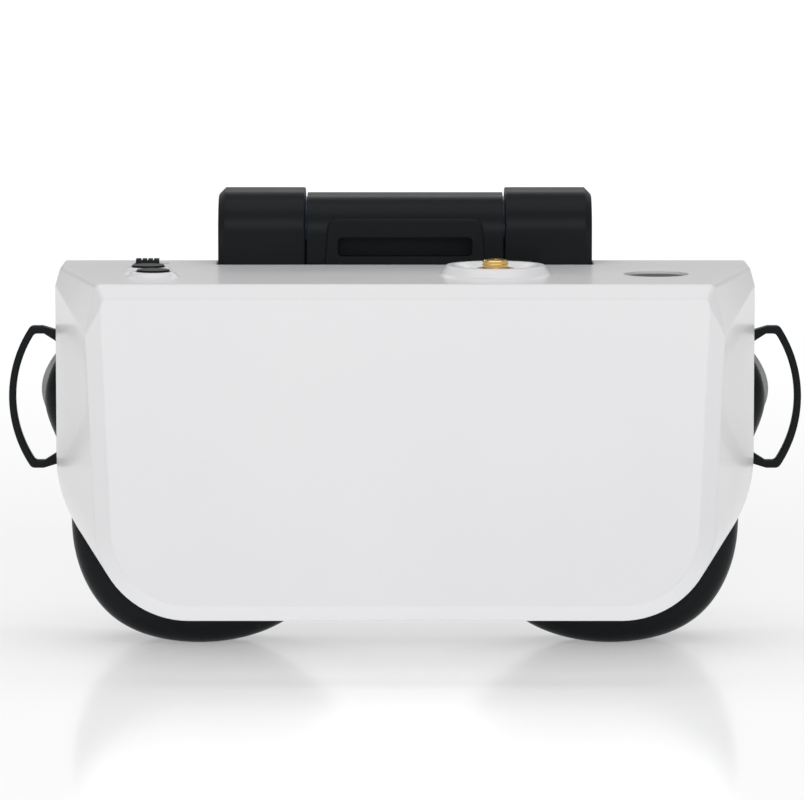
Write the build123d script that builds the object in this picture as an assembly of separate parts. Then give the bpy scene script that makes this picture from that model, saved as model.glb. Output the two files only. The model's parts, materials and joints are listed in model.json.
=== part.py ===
from build123d import *
import os

# FPV goggles: a white two-piece housing, a black faceplate with a soft face cushion, one large
# lens in front of a display, controls and an antenna jack on the top, a strap loop at each side
# and a lift-off battery case on the top at the rear.
# Millimetres. +Z is up, the flat front face looks along -Y, and +X is to the right of someone
# who faces that front. The origin is under the middle of the goggles, level with the lowest
# point of the two cheek lobes.

os.makedirs("parts", exist_ok=True)

# ---- driving dimensions ----------------------------------------------------------------------

# housing
HALF_WIDTH = 88.2
BOTTOM = 16.7
TOP = 99.5
WALL = 2.2
FRONT = -53.0
SEAM = 0.0
REAR = 17.0
SEAM_GAP = 0.3
BEVEL_DEPTH = 3.5
FLAT_HALF_WIDTH = 74.2
FLAT_BOTTOM = 20.9
FLAT_TOP = 96.2
BEVEL_HALF_WIDTH = 78.0
FRONT_NARROWING = 3.0
LOW_CORNER_REAR = 34.5
LOW_CORNER_FRONT = 23.0
FACET_REAR = (1.4, 5.0)
FACET_FRONT = (2.8, 12.6)
TOP_ROUND = 1.2

# faceplate and cushion
FACE_RADIUS = 260.0
FACE_NEAREST = 24.0
CUSHION_THICKNESS = 9.9
FACEPLATE_FRONT = REAR + 0.2
FACEPLATE_WALL = 2.2
FACEPLATE_ROUND = 6.0

# optics
LENS_HALF_WIDTH = 56.0
LENS_LOW = 30.5
LENS_HIGH = 86.5
LENS_REAR = 10.0
LENS_CORNER = 12.0
DISPLAY_HALF_WIDTH = 49.0
DISPLAY_LOW = 33.5
DISPLAY_HIGH = 86.5
DISPLAY_FRONT = -37.0

# electronics
BOARD_FRONT = -44.0
BOARD_THICKNESS = 1.6
CONTROL_BOARD_LOW = 89.6
BOARD_REAR = BOARD_FRONT + BOARD_THICKNESS
CONTROL_BOARD_HIGH = CONTROL_BOARD_LOW + BOARD_THICKNESS
SWITCH_TOP = CONTROL_BOARD_HIGH + 2.1
JACK_LOW = BOTTOM + WALL + 0.2
JACK_Y = BOARD_REAR + 4.6
POWER_JACK_X = 28.0
POWER_BORE_RADIUS = 3.0
POWER_PIN_RADIUS = 1.05
AV_JACK_X = -2.0
AV_BORE_RADIUS = 1.8
CARD_X = -27.0
CARD_Y = BOARD_REAR + 1.1
CARD_HALF_WIDTH = 5.5
CARD_LENGTH = 15.0
CARD_HALF_THICKNESS = 0.35
CARD_LOW = BOTTOM + 0.4
SCREW_HOLE = 1.0
SCREW_PILOT = 0.8

# controls
BUTTON_TOP = TOP + 1.9
BUTTON_TRAVEL = 0.8
COLLAR_HEIGHT = 1.3
FRONT_BUTTON_AT = (-62.2, -29.5)
MIDDLE_BUTTON_AT = (-64.0, -16.5)
MODE_SLIDER_AT = (-64.2, 7.3)
SMALL_SLIDER_AT = (30.8, -2.7)
POWER_BUTTON_AT = (62.3, -22.0)
BUTTON_RADIUS = 4.1
POWER_BUTTON_RADIUS = 7.7
SMA_AT = (22.4, -21.6)
SMA_RADIUS = 3.175
SMA_TOP = 103.0
SMA_NECK = 3.0
SMA_NECK_TOP = 101.25
SMA_NUT_THICKNESS = 1.1
SMA_BOSS_TOP = 101.7

# strap loops
HINGE_X = 86.0
HINGE_Y = 8.0
LOOP_REACH = 100.6
LOOP_LOW = 47.35
LOOP_HIGH = 83.65
HINGE_BLOCK = (43.7, 87.3)
LOOP_HALF_DEPTH = 1.6
PIN_RADIUS = 1.0
KNUCKLE_RADIUS = 2.2

# battery case
BATTERY_HALF_LENGTH = 47.3
BATTERY_MIDDLE = 24.8
BATTERY_FRONT = 4.0
BATTERY_REAR = 32.0
BATTERY_LOW = 95.4
BATTERY_HIGH = 117.8
BATTERY_MIDDLE_HIGH = 116.5
CELL_RADIUS = 9.2
CELL_HALF_LENGTH = 32.5
CELL_Y = 20.6
CELL_Z = 106.3
SADDLE_LOW = 92.6
SADDLE_FLOOR = 95.2
DOCK_PINS_X = (-6.0, 6.0)
DOCK_PINS_Y = 12.0

SIDES = (-1, 1)
SHELL_SCREWS = [(side * x, z) for side in SIDES for x, z in ((83.2, 92.8), (62.0, 22.2))]
BEZEL_SCREWS = [(side * x, z) for side in SIDES for x, z in ((55.0, 94.3), (40.0, 22.2))]
FACEPLATE_SCREWS = [(side * 77.6, z) for side in SIDES for z in (51.0, 75.0)]
BOARD_SCREWS = [(side * 54.0, z) for side in SIDES for z in (30.0, 84.0)]
LEFT_BOARD_SCREWS = [(-57.0, -6.0), (-69.0, -38.0)]
RIGHT_BOARD_SCREWS = [(38.0, -6.8), (68.5, -10.0)]


# ---- helpers ---------------------------------------------------------------------------------


def upright(y):
    """The upright plane at depth y, whose own axes are X and Z."""
    return Plane.XZ.offset(-y)


def slab(sketch, y_front, y_rear):
    """An upright sketch made solid from one depth to another."""
    return extrude(upright(y_rear) * sketch, y_rear - y_front)


def block(x0, x1, y0, y1, z0, z1):
    """A box between two values on each axis."""
    middle = ((x0 + x1) / 2, (y0 + y1) / 2, (z0 + z1) / 2)
    return Pos(*middle) * Box(x1 - x0, y1 - y0, z1 - z0)


def rod(axis, place, radius, start, end):
    """A round bar along one axis, at a place given on the other two axes in X, Y, Z order."""
    middle = (start + end) / 2
    spots = {
        "x": Pos(middle, *place) * Rot(0, 90, 0),
        "y": Pos(place[0], middle, place[1]) * Rot(90, 0, 0),
        "z": Pos(*place, middle),
    }
    return spots[axis] * Cylinder(radius, end - start)


def outline(half_width, low, high, low_radius, high_radius):
    """An upright rectangle with one radius on its lower corners and one on its upper corners."""
    sketch = Pos(0, (low + high) / 2) * Rectangle(2 * half_width, high - low)
    sketch = fillet(sketch.vertices().sort_by(Axis.Y)[:2], low_radius)
    return fillet(sketch.vertices().sort_by(Axis.Y)[-2:], high_radius)


def through(sections):
    """A solid with flat sides through upright outlines, each given with its depth."""
    return loft([upright(y) * sketch for y, sketch in sections], ruled=True)


def both_sides(points):
    """A closed loop of points from its right half, which runs from the top to the bottom."""
    return points + [(-x, z) for x, z in reversed(points[1:-1])]


def inset(loop, distance):
    """A clockwise loop of points moved inwards, each square to the line between its neighbours."""
    moved = []
    for index, (x, z) in enumerate(loop):
        before = Vector(*loop[index - 1])
        after = Vector(*loop[(index + 1) % len(loop)])
        ahead = (after - before).normalized()
        moved.append((x + ahead.Y * distance, z - ahead.X * distance))
    return moved


def closed_curve(loop):
    """A smooth closed outline through a loop of points."""
    return make_face(Spline(*loop, periodic=True))


def screw(axis, place, head_at, length, inward, head_radius=1.9, shank_radius=0.8):
    """A small pan-head screw with a cross recess. inward is the way its shank points."""
    head_height = 1.3
    recess = 0.45
    head_ends = sorted((head_at, head_at - inward * head_height))
    shank_ends = sorted((head_at, head_at + inward * length))
    body = rod(axis, place, head_radius, *head_ends) + rod(axis, place, shank_radius, *shank_ends)
    outer = head_at - inward * head_height
    slot_ends = sorted((outer, outer + inward * 0.7))
    depth_middle = sum(slot_ends) / 2
    depth = slot_ends[1] - slot_ends[0]
    for wide, tall in ((recess, head_radius * 1.2), (head_radius * 1.2, recess)):
        if axis == "y":
            body -= Pos(place[0], depth_middle, place[1]) * Box(wide, depth, tall)
        else:
            body -= Pos(place[0], place[1], depth_middle) * Box(wide, tall, depth)
    return body


def save(name, *solids):
    """Write one named piece, or a group of like pieces, to its own file."""
    shape = solids[0] if len(solids) == 1 else Compound(children=list(solids))
    shape.label = name
    export_step(shape, f"parts/{name}.step")


# ---- housing ---------------------------------------------------------------------------------


def shell_outline(high_half, low_half, low, high, low_radius, facet, inset_by=0.0):
    """An upright section of the housing: big lower corners and a facet at each upper corner."""
    facet_width, facet_height = facet
    high_half -= inset_by
    low_half -= inset_by
    low += inset_by
    high -= inset_by
    corners = [
        (-low_half, low),
        (low_half, low),
        (high_half, high - facet_height),
        (high_half - facet_width, high),
        (facet_width - high_half, high),
        (-high_half, high - facet_height),
    ]
    sketch = make_face(Polyline(*corners, close=True))
    sketch = fillet(sketch.vertices().sort_by(Axis.Y)[:2], low_radius - inset_by)
    return fillet(sketch.vertices().sort_by(Axis.Y)[-2:], TOP_ROUND)


def seam_section(inset_by=0.0):
    """The section at the seam, which the rear shell keeps all the way back."""
    return shell_outline(HALF_WIDTH, HALF_WIDTH, BOTTOM, TOP, LOW_CORNER_REAR, FACET_REAR, inset_by)


def bevel_section(inset_by=0.0):
    """The section where the front bevel ends."""
    low_half = BEVEL_HALF_WIDTH - FRONT_NARROWING
    half = BEVEL_HALF_WIDTH
    return shell_outline(half, low_half, BOTTOM, TOP, LOW_CORNER_FRONT, FACET_FRONT, inset_by)


def flat_section(inset_by=0.0):
    """The outline of the flat front face, with nearly square upper corners."""
    low_half = FLAT_HALF_WIDTH - FRONT_NARROWING
    facet = (0.6, 2.4)
    corner = LOW_CORNER_FRONT - 4.0
    return shell_outline(FLAT_HALF_WIDTH, low_half, FLAT_BOTTOM, FLAT_TOP, corner, facet, inset_by)


def housing_outside():
    """The solid outside of the front shell: a bevelled flat front that widens to the seam."""
    bevel_rear = FRONT + BEVEL_DEPTH
    nose = through([(FRONT, flat_section()), (bevel_rear, bevel_section())])
    return nose + through([(bevel_rear, bevel_section()), (SEAM, seam_section())])


def housing_inside():
    """The hollow of the front shell, one wall inside its outside."""
    front = FRONT + WALL
    bevel_rear = FRONT + BEVEL_DEPTH + 1.5
    nose = through([(front, flat_section(0.6)), (bevel_rear, bevel_section(WALL))])
    return nose + through([(bevel_rear, bevel_section(WALL)), (SEAM, seam_section(WALL))])


def front_shell():
    """The white front of the housing, with its raised collars, holes and screw posts."""
    outside = housing_outside()
    shell = outside - housing_inside()
    shell -= block(-100, 100, SEAM - SEAM_GAP / 2, SEAM + 1, 0, 120)

    posts = [rod("y", place, 3.5, -13.0, SEAM - SEAM_GAP / 2) for place in SHELL_SCREWS]
    posts += [rod("y", place, 2.8, FRONT + 1.0, BOARD_FRONT) for place in BOARD_SCREWS]
    control_posts = LEFT_BOARD_SCREWS + RIGHT_BOARD_SCREWS
    board_top = CONTROL_BOARD_HIGH
    posts += [rod("z", place, 2.3, board_top, TOP - 1.0) for place in control_posts]
    for post in posts:
        shell += post & outside
    for place in SHELL_SCREWS:
        shell -= rod("y", place, SCREW_PILOT, -10.0, SEAM)
    for place in BOARD_SCREWS:
        shell -= rod("y", place, SCREW_PILOT, BOARD_FRONT - 5.0, BOARD_FRONT)
    for place in control_posts:
        shell -= rod("z", place, SCREW_PILOT, board_top, board_top + 4.5)

    # collars round the two buttons, and the dished boss of the antenna jack
    for place in (FRONT_BUTTON_AT, MIDDLE_BUTTON_AT):
        shell += Pos(*place, TOP + COLLAR_HEIGHT / 2) * Cone(6.6, 5.2, COLLAR_HEIGHT)
        shell -= rod("z", place, BUTTON_RADIUS + 0.25, TOP - 3.0, TOP + 3.0)
    boss_height = SMA_BOSS_TOP - TOP
    shell += Pos(*SMA_AT, TOP + boss_height / 2) * Cone(14.0, 12.2, boss_height)
    dish_floor = TOP + 0.4
    dish_middle = (dish_floor + SMA_BOSS_TOP) / 2
    shell -= Pos(*SMA_AT, dish_middle) * Cone(7.5, 10.8, SMA_BOSS_TOP - dish_floor)
    shell -= rod("z", SMA_AT, SMA_RADIUS + 0.15, TOP - 3.0, TOP + 3.0)

    # power button hole and the slot of the small slider
    shell -= rod("z", POWER_BUTTON_AT, POWER_BUTTON_RADIUS + 0.3, TOP - 3.0, TOP + 1.0)
    shell -= slider_slot(SMALL_SLIDER_AT, 2.9, 1.6)

    # holes in the underside for the power plug, the audio and video plug and the memory card
    shell -= rod("z", (POWER_JACK_X, JACK_Y), 4.6, BOTTOM - 1, BOTTOM + 3)
    shell -= rod("z", (AV_JACK_X, JACK_Y), 3.4, BOTTOM - 1, BOTTOM + 3)
    card_half = CARD_HALF_WIDTH + 0.7
    left = CARD_X - card_half
    shell -= block(left, CARD_X + card_half, CARD_Y - 1.1, CARD_Y + 1.1, BOTTOM - 1, BOTTOM + 3)
    return shell


def slider_slot(place, half_width, half_depth):
    """The slot that a slider stands in, through the top wall."""
    x, y = place
    return block(x - half_width, x + half_width, y - half_depth, y + half_depth, TOP - 3, TOP + 1)


def rear_shell():
    """The white rear ring of the housing, with the hinge blocks and the battery saddle."""
    front = SEAM + SEAM_GAP / 2
    ring_inside = seam_section(WALL)
    outside = slab(seam_section(), front, REAR)
    outside = chamfer(outside.faces().sort_by(Axis.Y)[-1].edges(), 0.6)
    shell = outside - slab(ring_inside, front, REAR)

    # tongue that fits inside the front shell and closes the seam
    tongue_outside = seam_section(WALL + 0.9)
    tongue_inside = seam_section(WALL + 2.1)
    shell += slab(ring_inside, front, front + 2.0) - slab(tongue_inside, front, front + 2.0)
    shell += slab(tongue_outside, front - 2.0, front) - slab(tongue_inside, front - 2.0, front)
    for place in SHELL_SCREWS:
        shell -= rod("y", place, 3.9, front - 3.0, front)

    # ears for the screws that join the two shells, and lugs for the lens bezel
    for place in SHELL_SCREWS:
        shell += rod("y", place, 3.5, front, front + 3.0) & outside
    for place in BEZEL_SCREWS:
        shell += rod("y", place, 3.5, front + 2.8, LENS_REAR) & outside

    # hinge blocks, each with a notch for the strap loop
    for side in SIDES:
        inner, outer = sorted((side * 73.8, side * HALF_WIDTH))
        shell += block(inner, outer, 1.8, REAR, *HINGE_BLOCK) & outside
        inner, outer = sorted((side * 83.1, side * 95.0))
        shell -= block(inner, outer, 4.2, REAR + 1, LOOP_LOW - 1.0, LOOP_HIGH + 1.0)
        shell -= rod("z", (side * HINGE_X, HINGE_Y), PIN_RADIUS, 40.0, 90.0)

    # the saddle that the battery case drops into, carried on as a shelf behind the ring
    saddle_half = BATTERY_HALF_LENGTH + 0.3
    saddle_front = BATTERY_FRONT - 0.2
    shelf_rear = BATTERY_REAR + 0.8
    shell -= block(-saddle_half, saddle_half, saddle_front, REAR + 1, SADDLE_LOW, TOP + 1)
    rail = saddle_half + 2.4
    shell += block(-rail, rail, saddle_front - 2.0, shelf_rear, SADDLE_LOW, SADDLE_FLOOR)
    shell += block(-rail, rail, saddle_front - 2.0, saddle_front, SADDLE_LOW, TOP - WALL)
    for side in SIDES:
        inner, outer = sorted((side * saddle_half, side * rail))
        shell += block(inner, outer, saddle_front - 2.0, REAR, SADDLE_LOW, TOP - 0.1)
        shell += block(inner, outer, REAR, shelf_rear, SADDLE_LOW, SADDLE_FLOOR + 2.2)
    for x in DOCK_PINS_X:
        shell -= rod("z", (x, DOCK_PINS_Y), 1.0, SADDLE_LOW - 1, SADDLE_FLOOR + 1)

    # slot of the mode slider, and pilot holes
    shell -= slider_slot(MODE_SLIDER_AT, 4.2, 2.2)
    for place in SHELL_SCREWS:
        shell -= rod("y", place, SCREW_HOLE, front - 1.0, front + 4.0)
    for place in BEZEL_SCREWS:
        shell -= rod("y", place, SCREW_PILOT, front + 3.5, LENS_REAR + 1)
    for place in FACEPLATE_SCREWS:
        shell -= rod("y", place, SCREW_PILOT, REAR - 9.0, REAR + 1)
    return shell


def shell_screws():
    """The four screws that join the front and rear shells."""
    head_at = SEAM + SEAM_GAP / 2 + 3.0
    return [screw("y", place, head_at, 12.0, -1) for place in SHELL_SCREWS]


# ---- faceplate and cushion -------------------------------------------------------------------

# right half of the faceplate's rim: forehead, temple, cheek lobe and nose arch
RIM = [
    (0, 90.4),
    (58, 89.6),
    (84, 80.0),
    (92.5, 62.5),
    (87.2, 47.0),
    (85.4, 26.0),
    (75.6, 6.7),
    (56.5, 0.0),
    (31, 5.5),
    (15, 19.5),
    (0, 27.5),
]
TEMPLE = 90.0
RIM_LIFT = 0.13

# right half of the opening that the face looks into
FACE_OPENING = [
    (0, 80.0),
    (56, 79.0),
    (75.5, 70.0),
    (79.5, 55.0),
    (71, 23.0),
    (53, 13.5),
    (34, 19.5),
    (16, 32.0),
    (0, 36.5),
]


def rim_outline(temple_extra=0.0, inwards=0.0):
    """The rim as a flat outline with its cheek lobes standing at height zero."""
    loop = both_sides([(x + temple_extra if x > TEMPLE else x, z + RIM_LIFT) for x, z in RIM])
    return closed_curve(inset(loop, inwards))


def face_curve(nearer):
    """The upright cylinder of the face, as a solid, moved nearer the housing by a distance."""
    return Pos(0, FACE_NEAREST + FACE_RADIUS, 50) * Cylinder(FACE_RADIUS + nearer, 200)


def faceplate_frame():
    """The black faceplate: a deep rounded rim, a floor round the lens and a flange behind."""
    rim = rim_outline()
    deepest = 60.0
    outside = slab(rim, FACEPLATE_FRONT, deepest)
    front_edges = outside.faces().sort_by(Axis.Y)[0].edges()
    outside = fillet(front_edges, FACEPLATE_ROUND)
    outside -= face_curve(0)

    hollow = slab(rim_outline(0, FACEPLATE_WALL), FACEPLATE_FRONT + FACEPLATE_WALL, deepest)
    inner_round = FACEPLATE_ROUND - FACEPLATE_WALL
    hollow = fillet(hollow.faces().sort_by(Axis.Y)[0].edges(), inner_round)
    hollow -= face_curve(FACEPLATE_WALL)
    frame = outside - hollow

    window = outline(62.0, 34.5, 87.0, 12.0, 6.0)
    frame -= slab(window, FACEPLATE_FRONT - 1, FACEPLATE_FRONT + FACEPLATE_WALL + 0.2)
    frame -= slab(closed_curve(both_sides(FACE_OPENING)), FACEPLATE_FRONT + FACEPLATE_WALL + 0.1, deepest)
    for place in FACEPLATE_SCREWS:
        frame -= rod("y", place, SCREW_HOLE, FACEPLATE_FRONT - 1, FACEPLATE_FRONT + FACEPLATE_WALL + 1)
    return frame


def face_cushion():
    """The soft ring between the faceplate's flange and the face."""
    ring = slab(rim_outline(2.3) - closed_curve(both_sides(FACE_OPENING)), FACE_NEAREST - 2, 70.0)
    ring &= face_curve(0)
    return ring - face_curve(-CUSHION_THICKNESS)


def faceplate_screws():
    """The four screws that hold the faceplate to the hinge blocks of the rear shell."""
    head_at = FACEPLATE_FRONT + FACEPLATE_WALL
    return [screw("y", place, head_at, 9.0, -1) for place in FACEPLATE_SCREWS]


# ---- optics ----------------------------------------------------------------------------------


def rounded(half_width, low, high, radius):
    """An upright rectangle with four equal corners."""
    return outline(half_width, low, high, radius, radius)


def lens():
    """The large magnifying lens: flat behind and domed towards the display."""
    dome = 9.0
    sphere_radius = 323.0
    sketch = rounded(LENS_HALF_WIDTH, LENS_LOW, LENS_HIGH, LENS_CORNER)
    middle_z = (LENS_LOW + LENS_HIGH) / 2
    ball = Pos(0, LENS_REAR - dome + sphere_radius, middle_z) * Sphere(sphere_radius)
    return slab(sketch, LENS_REAR - dome - 1, LENS_REAR) & ball


def lens_bezel():
    """The black bulkhead that closes the housing round the lens."""
    front = LENS_REAR + 0.1
    rear = front + 2.4
    whole = slab(seam_section(WALL + 0.2), front, rear)
    for side in SIDES:
        inner, outer = sorted((side * 73.5, side * HALF_WIDTH))
        whole -= block(inner, outer, front - 1, rear + 1, HINGE_BLOCK[0] - 0.3, HINGE_BLOCK[1] + 0.3)
    saddle = BATTERY_HALF_LENGTH + 3.0
    whole -= block(-saddle, saddle, front - 1, rear + 1, SADDLE_LOW - 0.3, TOP)
    window = rounded(LENS_HALF_WIDTH - 2, LENS_LOW + 2, LENS_HIGH - 2, LENS_CORNER - 2)
    bezel = whole - slab(window, front - 1, rear + 1)
    for place in BEZEL_SCREWS:
        bezel -= rod("y", place, SCREW_HOLE, front - 1, rear + 1)
    return bezel


def bezel_screws():
    """The four screws that hold the lens bezel to its lugs."""
    return [screw("y", place, LENS_REAR + 2.5, 8.0, -1) for place in BEZEL_SCREWS]


def optic_tunnel():
    """The black light tunnel that widens from the display frame to the lens."""
    wall = 1.5
    front = DISPLAY_FRONT + 5.0
    near = rounded(DISPLAY_HALF_WIDTH + 1.5, DISPLAY_LOW - 1, DISPLAY_HIGH + 1, 3.0)
    near_hole = rounded(DISPLAY_HALF_WIDTH, DISPLAY_LOW + 0.5, DISPLAY_HIGH - 0.5, 2.0)
    gap = 0.3
    far_hole = rounded(LENS_HALF_WIDTH + gap, LENS_LOW - gap, LENS_HIGH + gap, LENS_CORNER + gap)
    grow = gap + wall
    far = rounded(LENS_HALF_WIDTH + grow, LENS_LOW - grow, LENS_HIGH + grow, LENS_CORNER + grow)
    outside = through([(front, near), (0, far)]) + slab(far, 0, LENS_REAR)
    inside = through([(front, near_hole), (0, far_hole)]) + slab(far_hole, 0, LENS_REAR)
    return outside - inside


def display_frame():
    """The frame that the display drops into from the front."""
    rear = DISPLAY_FRONT + 5.0
    outside = rounded(DISPLAY_HALF_WIDTH + 4.5, DISPLAY_LOW - 2, DISPLAY_HIGH + 2, 3.0)
    pocket = rounded(DISPLAY_HALF_WIDTH + 0.2, DISPLAY_LOW - 0.2, DISPLAY_HIGH + 0.2, 0.8)
    window = rounded(DISPLAY_HALF_WIDTH - 2.5, DISPLAY_LOW + 2, DISPLAY_HIGH - 2, 0.8)
    frame = slab(outside, DISPLAY_FRONT, rear)
    frame -= slab(pocket, DISPLAY_FRONT - 1, DISPLAY_FRONT + 2.8)
    return frame - slab(window, DISPLAY_FRONT, rear + 1)


def display_panel():
    """The flat display, with a thin metal back."""
    front = DISPLAY_FRONT + 0.1
    panel = rounded(DISPLAY_HALF_WIDTH, DISPLAY_LOW, DISPLAY_HIGH, 0.6)
    return slab(panel, front, DISPLAY_FRONT + 2.7)


# ---- electronics -----------------------------------------------------------------------------


def main_board():
    """The upright circuit board behind the front face."""
    rear = BOARD_REAR
    board = slab(rounded(58.0, 20.5, 88.0, 2.0), BOARD_FRONT, rear)
    for place in BOARD_SCREWS:
        board -= rod("y", place, SCREW_HOLE, BOARD_FRONT - 1, rear + 1)
    return board


def main_board_screws():
    """The four screws of the circuit board."""
    head_at = BOARD_REAR
    return [screw("y", place, head_at, 6.0, -1) for place in BOARD_SCREWS]


def shield_can(x0, x1, z0, z1, height):
    """A drawn metal can on the front of the circuit board, open towards the board."""
    skin = 0.3
    front = BOARD_FRONT - height
    can = slab(rounded((x1 - x0) / 2, z0, z1, 1.2), front, BOARD_FRONT)
    hollow = slab(rounded((x1 - x0) / 2 - skin, z0 + skin, z1 - skin, 0.9), front + skin, BOARD_FRONT)
    can -= hollow
    hole_pitch = 4.0
    middle = (z0 + z1) / 2
    for row in (-1, 0, 1):
        for column in (-1, 0, 1):
            place = (column * hole_pitch, middle + row * hole_pitch)
            can -= rod("y", place, 0.6, front - 1, front + 1)
    return Pos((x0 + x1) / 2, 0, 0) * can


def patch_antenna():
    """The flat antenna stuck to the inside of the front face: a tile with a metal patch."""
    back = FRONT + WALL + 0.1
    tile = slab(rounded(16.0, 28.0, 60.0, 1.5), back, back + 1.6)
    return tile + slab(rounded(11.5, 32.5, 55.5, 0.5), back + 1.6, back + 1.8)


def power_jack():
    """The power inlet: a block with a round mouth in the underside and a centre pin."""
    front = BOARD_REAR
    x = POWER_JACK_X
    jack = block(x - 5.0, x + 5.0, front, JACK_Y + 4.6, JACK_LOW, JACK_LOW + 11.5)
    jack -= rod("z", (x, JACK_Y), POWER_BORE_RADIUS, JACK_LOW - 1, JACK_LOW + 9.5)
    pin = rod("z", (x, JACK_Y), POWER_PIN_RADIUS, JACK_LOW + 1.0, JACK_LOW + 10.0)
    return jack + pin


def av_jack():
    """The audio and video inlet: a round mouth for a 3.5 mm plug."""
    front = BOARD_REAR
    x = AV_JACK_X
    jack = block(x - 3.6, x + 3.6, front, JACK_Y + 3.2, JACK_LOW, JACK_LOW + 11.8)
    return jack - rod("z", (x, JACK_Y), AV_BORE_RADIUS, JACK_LOW - 1, JACK_LOW + 10.4)


def card_slot():
    """The holder of the memory card, open downwards."""
    front = BOARD_REAR
    gap = 0.25
    card_top = CARD_LOW + CARD_LENGTH + gap
    wide = CARD_HALF_WIDTH + gap
    outer = CARD_HALF_WIDTH + 1.5
    holder = block(CARD_X - outer, CARD_X + outer, front, front + 2.4, JACK_LOW, card_top + 1.35)
    return holder - block(CARD_X - wide, CARD_X + wide, CARD_Y - 0.6, CARD_Y + 0.6, 0, card_top)


def memory_card():
    """The memory card, with the notch in its side and the thick grip at its outer end."""
    top = CARD_LOW + CARD_LENGTH
    left = CARD_X - CARD_HALF_WIDTH
    right = CARD_X + CARD_HALF_WIDTH
    front = CARD_Y - CARD_HALF_THICKNESS
    card = block(left, right, front, CARD_Y + CARD_HALF_THICKNESS, CARD_LOW, top)
    return card - block(right - 1.4, right + 1, CARD_Y - 1, CARD_Y + 1, CARD_LOW + 6.5, top + 1)


def left_button_board():
    """The small board under the two buttons and the mode slider."""
    high = CONTROL_BOARD_HIGH
    board = block(-71.8, -54.0, -45.0, -1.6, CONTROL_BOARD_LOW, high)
    board += block(-71.8, -60.0, -1.6, 9.4, CONTROL_BOARD_LOW, high)
    for place in LEFT_BOARD_SCREWS:
        board -= rod("z", place, SCREW_HOLE, CONTROL_BOARD_LOW - 1, high + 1)
    return board


def right_button_board():
    """The L-shaped board under the small slider and the power button."""
    high = CONTROL_BOARD_HIGH
    board = block(26.0, 72.0, -9.2, -1.6, CONTROL_BOARD_LOW, high)
    board += block(54.0, 72.0, -31.0, -9.2, CONTROL_BOARD_LOW, high)
    for place in RIGHT_BOARD_SCREWS:
        board -= rod("z", place, SCREW_HOLE, CONTROL_BOARD_LOW - 1, high + 1)
    return board


def button_board_screws():
    """The screws that hang the two small boards from their posts."""
    places = LEFT_BOARD_SCREWS + RIGHT_BOARD_SCREWS
    return [screw("z", place, CONTROL_BOARD_LOW, 5.5, 1) for place in places]


def tactile_switches():
    """The push switch under each of the three buttons."""
    high = CONTROL_BOARD_HIGH
    switches = []
    for x, y in (FRONT_BUTTON_AT, MIDDLE_BUTTON_AT, POWER_BUTTON_AT):
        body = block(x - 2.6, x + 2.6, y - 2.6, y + 2.6, high, high + 1.6)
        switches.append(body + rod("z", (x, y), 1.4, high + 1.6, SWITCH_TOP))
    return switches


def slide_switches():
    """The slide switch under each of the two sliders, each a tray with a groove for its tongue."""
    high = CONTROL_BOARD_HIGH
    switches = []
    for x, y in (MODE_SLIDER_AT, SMALL_SLIDER_AT):
        body = block(x - 3.6, x + 3.6, y - 1.7, y + 1.7, high, high + 3.0)
        groove = block(x - 2.4, x + 2.4, y - 0.7, y + 0.7, high + 1.0, high + 4.0)
        switches.append(body - groove)
    return switches


def sma_jack():
    """The threaded antenna jack: a flanged barrel with a centre contact in its insulator."""
    flange_high = TOP - WALL - 0.1
    x, y = SMA_AT
    barrel = rod("z", SMA_AT, SMA_NECK, flange_high - 3.0, SMA_NECK_TOP)
    barrel += rod("z", SMA_AT, SMA_RADIUS, SMA_NECK_TOP, SMA_TOP)
    barrel = chamfer(barrel.edges().sort_by(Axis.Z)[-1:], 0.25)
    flange = Pos(x, y, flange_high) * extrude(RegularPolygon(4.0, 6, major_radius=False), -2.0)
    jack = barrel + flange
    jack -= rod("z", SMA_AT, 2.35, SMA_TOP - 1.9, SMA_TOP + 1)
    contact = rod("z", SMA_AT, 0.9, SMA_TOP - 2.4, SMA_TOP - 0.5)
    return jack + contact - rod("z", SMA_AT, 0.45, SMA_TOP - 1.8, SMA_TOP)


def sma_nut():
    """The thin hexagon nut that clamps the jack to the bottom of its dish."""
    low = TOP + 0.4
    x, y = SMA_AT
    nut = Pos(x, y, low) * extrude(RegularPolygon(4.0, 6, major_radius=False), SMA_NUT_THICKNESS)
    return nut - rod("z", SMA_AT, SMA_NECK, low - 1, low + 2)


# ---- controls --------------------------------------------------------------------------------


def push_button(place, radius, top, dished):
    """A round button with a flange that keeps it in its hole and a stem down to its switch."""
    flange_low = TOP - WALL - 1.2
    cap = rod("z", place, radius, flange_low, top)
    cap = fillet(cap.edges().sort_by(Axis.Z)[-1:], 0.5)
    if dished:
        cap -= Pos(*place, top + 24.6) * Sphere(25.0)
    cap += rod("z", place, radius + 0.9, flange_low, flange_low + 0.9)
    return cap + rod("z", place, 1.3, SWITCH_TOP + BUTTON_TRAVEL + 0.1, flange_low)


def slider(place, half_width, half_depth, height, travel):
    """A ridged slider standing in its slot, with a foot inside and a tongue in its switch."""
    x, y = place
    top = TOP + height
    left = x - travel / 2
    foot_low = TOP - WALL - 0.85
    knob = block(left - half_width, left + half_width, y - half_depth, y + half_depth, foot_low, top)
    ridges = 4
    pitch = 2 * half_width / ridges
    for ridge in range(1, ridges):
        groove_x = left - half_width + ridge * pitch
        knob -= block(groove_x - 0.18, groove_x + 0.18, y - 3, y + 3, top - 0.45, top + 1)
    knob += block(left - 3.0, left + 3.0, y - 2.0, y + 2.0, foot_low, foot_low + 0.65)
    tongue_low = CONTROL_BOARD_HIGH + 1.3
    return knob + block(left - 0.6, left + 0.6, y - 0.5, y + 0.5, tongue_low, foot_low)


# ---- strap loops -----------------------------------------------------------------------------


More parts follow.
